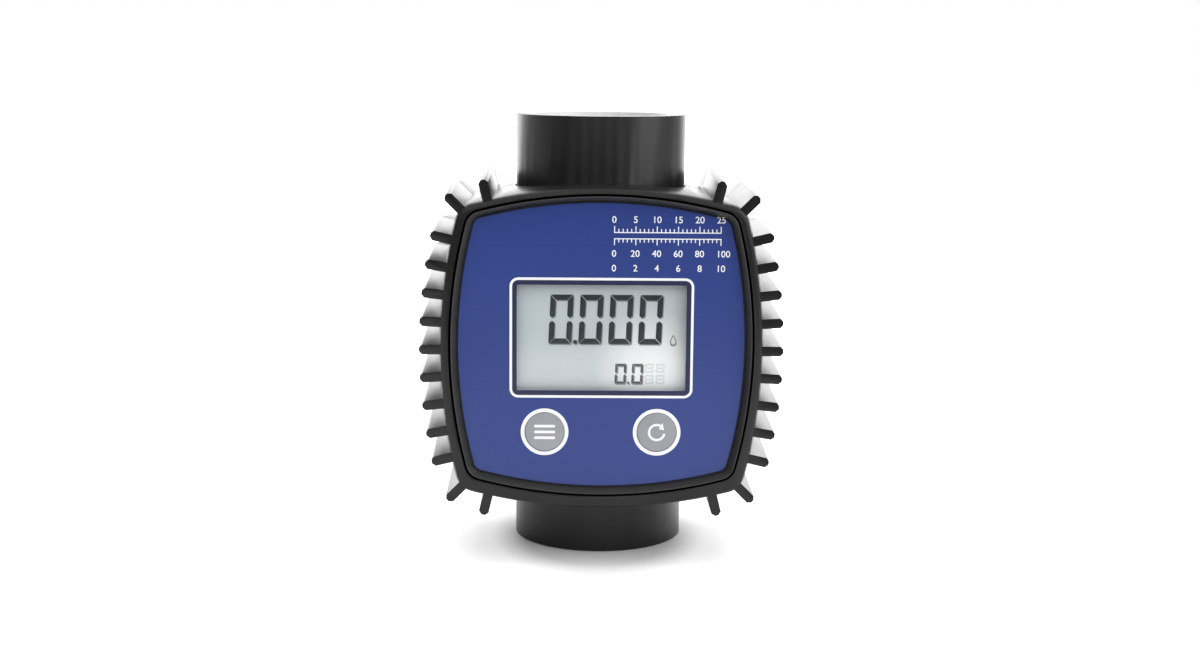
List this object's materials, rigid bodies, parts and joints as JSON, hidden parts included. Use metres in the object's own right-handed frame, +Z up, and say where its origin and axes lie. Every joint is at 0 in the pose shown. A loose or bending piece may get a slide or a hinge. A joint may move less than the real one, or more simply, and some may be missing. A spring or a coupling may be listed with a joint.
{
  "type": "turbine flow meter",
  "caption": "In-line turbine flow meter: finned black housing with a display and two buttons, clamped round a threaded tube whose rotor turns with the flow.",
  "frame": {"origin": "centre of the lower (inlet) port face, on the tube's axis", "axes": "+Z up the tube from inlet to outlet, -Y out of the display towards the reader, +X to the reader's right"},
  "size_m": [0.084, 0.0564, 0.102],
  "materials": {
    "body_black": "black coated aluminium, satin",
    "housing_black": "black moulded nylon, satin",
    "bezel_black": "black moulded plastic, satin",
    "label_blue": "blue printed film, semi-gloss",
    "clear_window": "clear acrylic window",
    "display_grey": "grey reflective display cell",
    "carrier_white": "white moulded carrier",
    "seal_rubber": "black nitrile rubber",
    "board_green": "green solder mask",
    "chip_black": "black moulded component",
    "screw_steel": "zinc plated steel",
    "button_grey": "grey moulded cap, satin",
    "cell_jacket": "printed steel jacket",
    "spring_steel": "plated spring steel",
    "cartridge_white": "white acetal",
    "bush_dark": "filled bearing plastic",
    "rotor_grey": "grey acetal",
    "magnet_dark": "sintered magnet"
  },
  "bodies": {
    "root": {"flow_tube": "body_black", "retaining_ring": "spring_steel", "inlet_stator": "cartridge_white", "outlet_stator": "cartridge_white", "turbine_sleeve": "cartridge_white", "inlet_bush": "bush_dark", "outlet_bush": "bush_dark", "front_housing": "housing_black", "rear_housing": "housing_black", "housing_screws": "screw_steel", "display_bezel": "bezel_black", "face_label": "label_blue", "lcd_lens": "clear_window", "lcd_glass": "display_grey", "lcd_frame": "carrier_white", "lcd_connector_strips": "seal_rubber", "circuit_board": "board_green", "microcontroller": "chip_black", "board_parts": "chip_black", "menu_switch": "chip_black", "reset_switch": "chip_black", "pickup_sensor": "chip_black", "module_seal": "seal_rubber", "module_back_cover": "bezel_black", "battery_left": "cell_jacket", "battery_right": "cell_jacket", "battery_contacts": "spring_steel", "battery_springs": "spring_steel"},
    "turbine": {"rotor": "rotor_grey", "rotor_shaft": "spring_steel", "rotor_magnets": "magnet_dark"},
    "menu_key": {"menu_button": "button_grey", "menu_switch_stem": "bezel_black"},
    "reset_key": {"reset_button": "button_grey", "reset_switch_stem": "bezel_black"}
  },
  "joints": [
    {"name": "rotor_spin", "type": "hinge", "parent": "root", "child": "turbine", "pos_m": [0, 0, 0.051], "axis": [0, 0, 1], "continuous": true},
    {"name": "menu_press", "type": "slide", "parent": "root", "child": "menu_key", "axis": [0, 1, 0], "range_m": [0, 0.0005], "stiffness_N_per_m": 2000},
    {"name": "reset_press", "type": "slide", "parent": "root", "child": "reset_key", "axis": [0, 1, 0], "range_m": [0, 0.0005], "stiffness_N_per_m": 2000}
  ]
}
